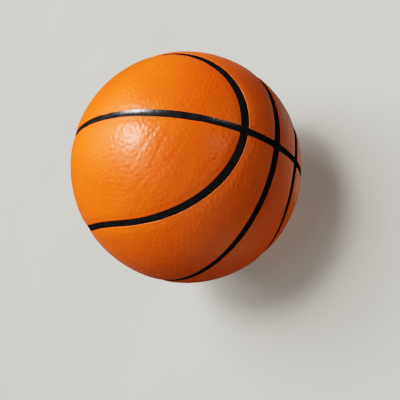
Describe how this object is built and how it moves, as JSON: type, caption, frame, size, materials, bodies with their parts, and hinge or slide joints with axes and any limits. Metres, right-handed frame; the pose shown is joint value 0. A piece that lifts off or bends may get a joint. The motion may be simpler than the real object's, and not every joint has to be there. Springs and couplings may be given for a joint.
{
  "type": "stress ball",
  "caption": "Soft foam stress ball styled as a small basketball, with a pebbled orange coat and black seam lines in shallow channels.",
  "frame": {"origin": "centre of the ball", "axes": "+Z along the axis that the two loop seams go round; the meridian seam lies in the XZ plane and the equator seam in the XY plane, so they cross on the X axis; -Y is the front"},
  "size_m": [0.1, 0.1, 0.1],
  "materials": {
    "foam": "open-cell polyurethane foam, matte",
    "skin": "dense closed polyurethane skin, satin",
    "orange_coat": "flexible coat with a low pebble grain, semi-gloss",
    "black_line": "flexible printed line, gloss"
  },
  "bodies": {
    "root": {"foam_core": "foam", "moulded_skin": "skin", "upper_oval_front_panel": "orange_coat", "upper_oval_back_panel": "orange_coat", "upper_crescent_front_panel": "orange_coat", "upper_crescent_back_panel": "orange_coat", "lower_oval_front_panel": "orange_coat", "lower_oval_back_panel": "orange_coat", "lower_crescent_front_panel": "orange_coat", "lower_crescent_back_panel": "orange_coat", "equator_line": "black_line", "meridian_line": "black_line", "upper_loop_line": "black_line", "lower_loop_line": "black_line"}
  },
  "joints": []
}
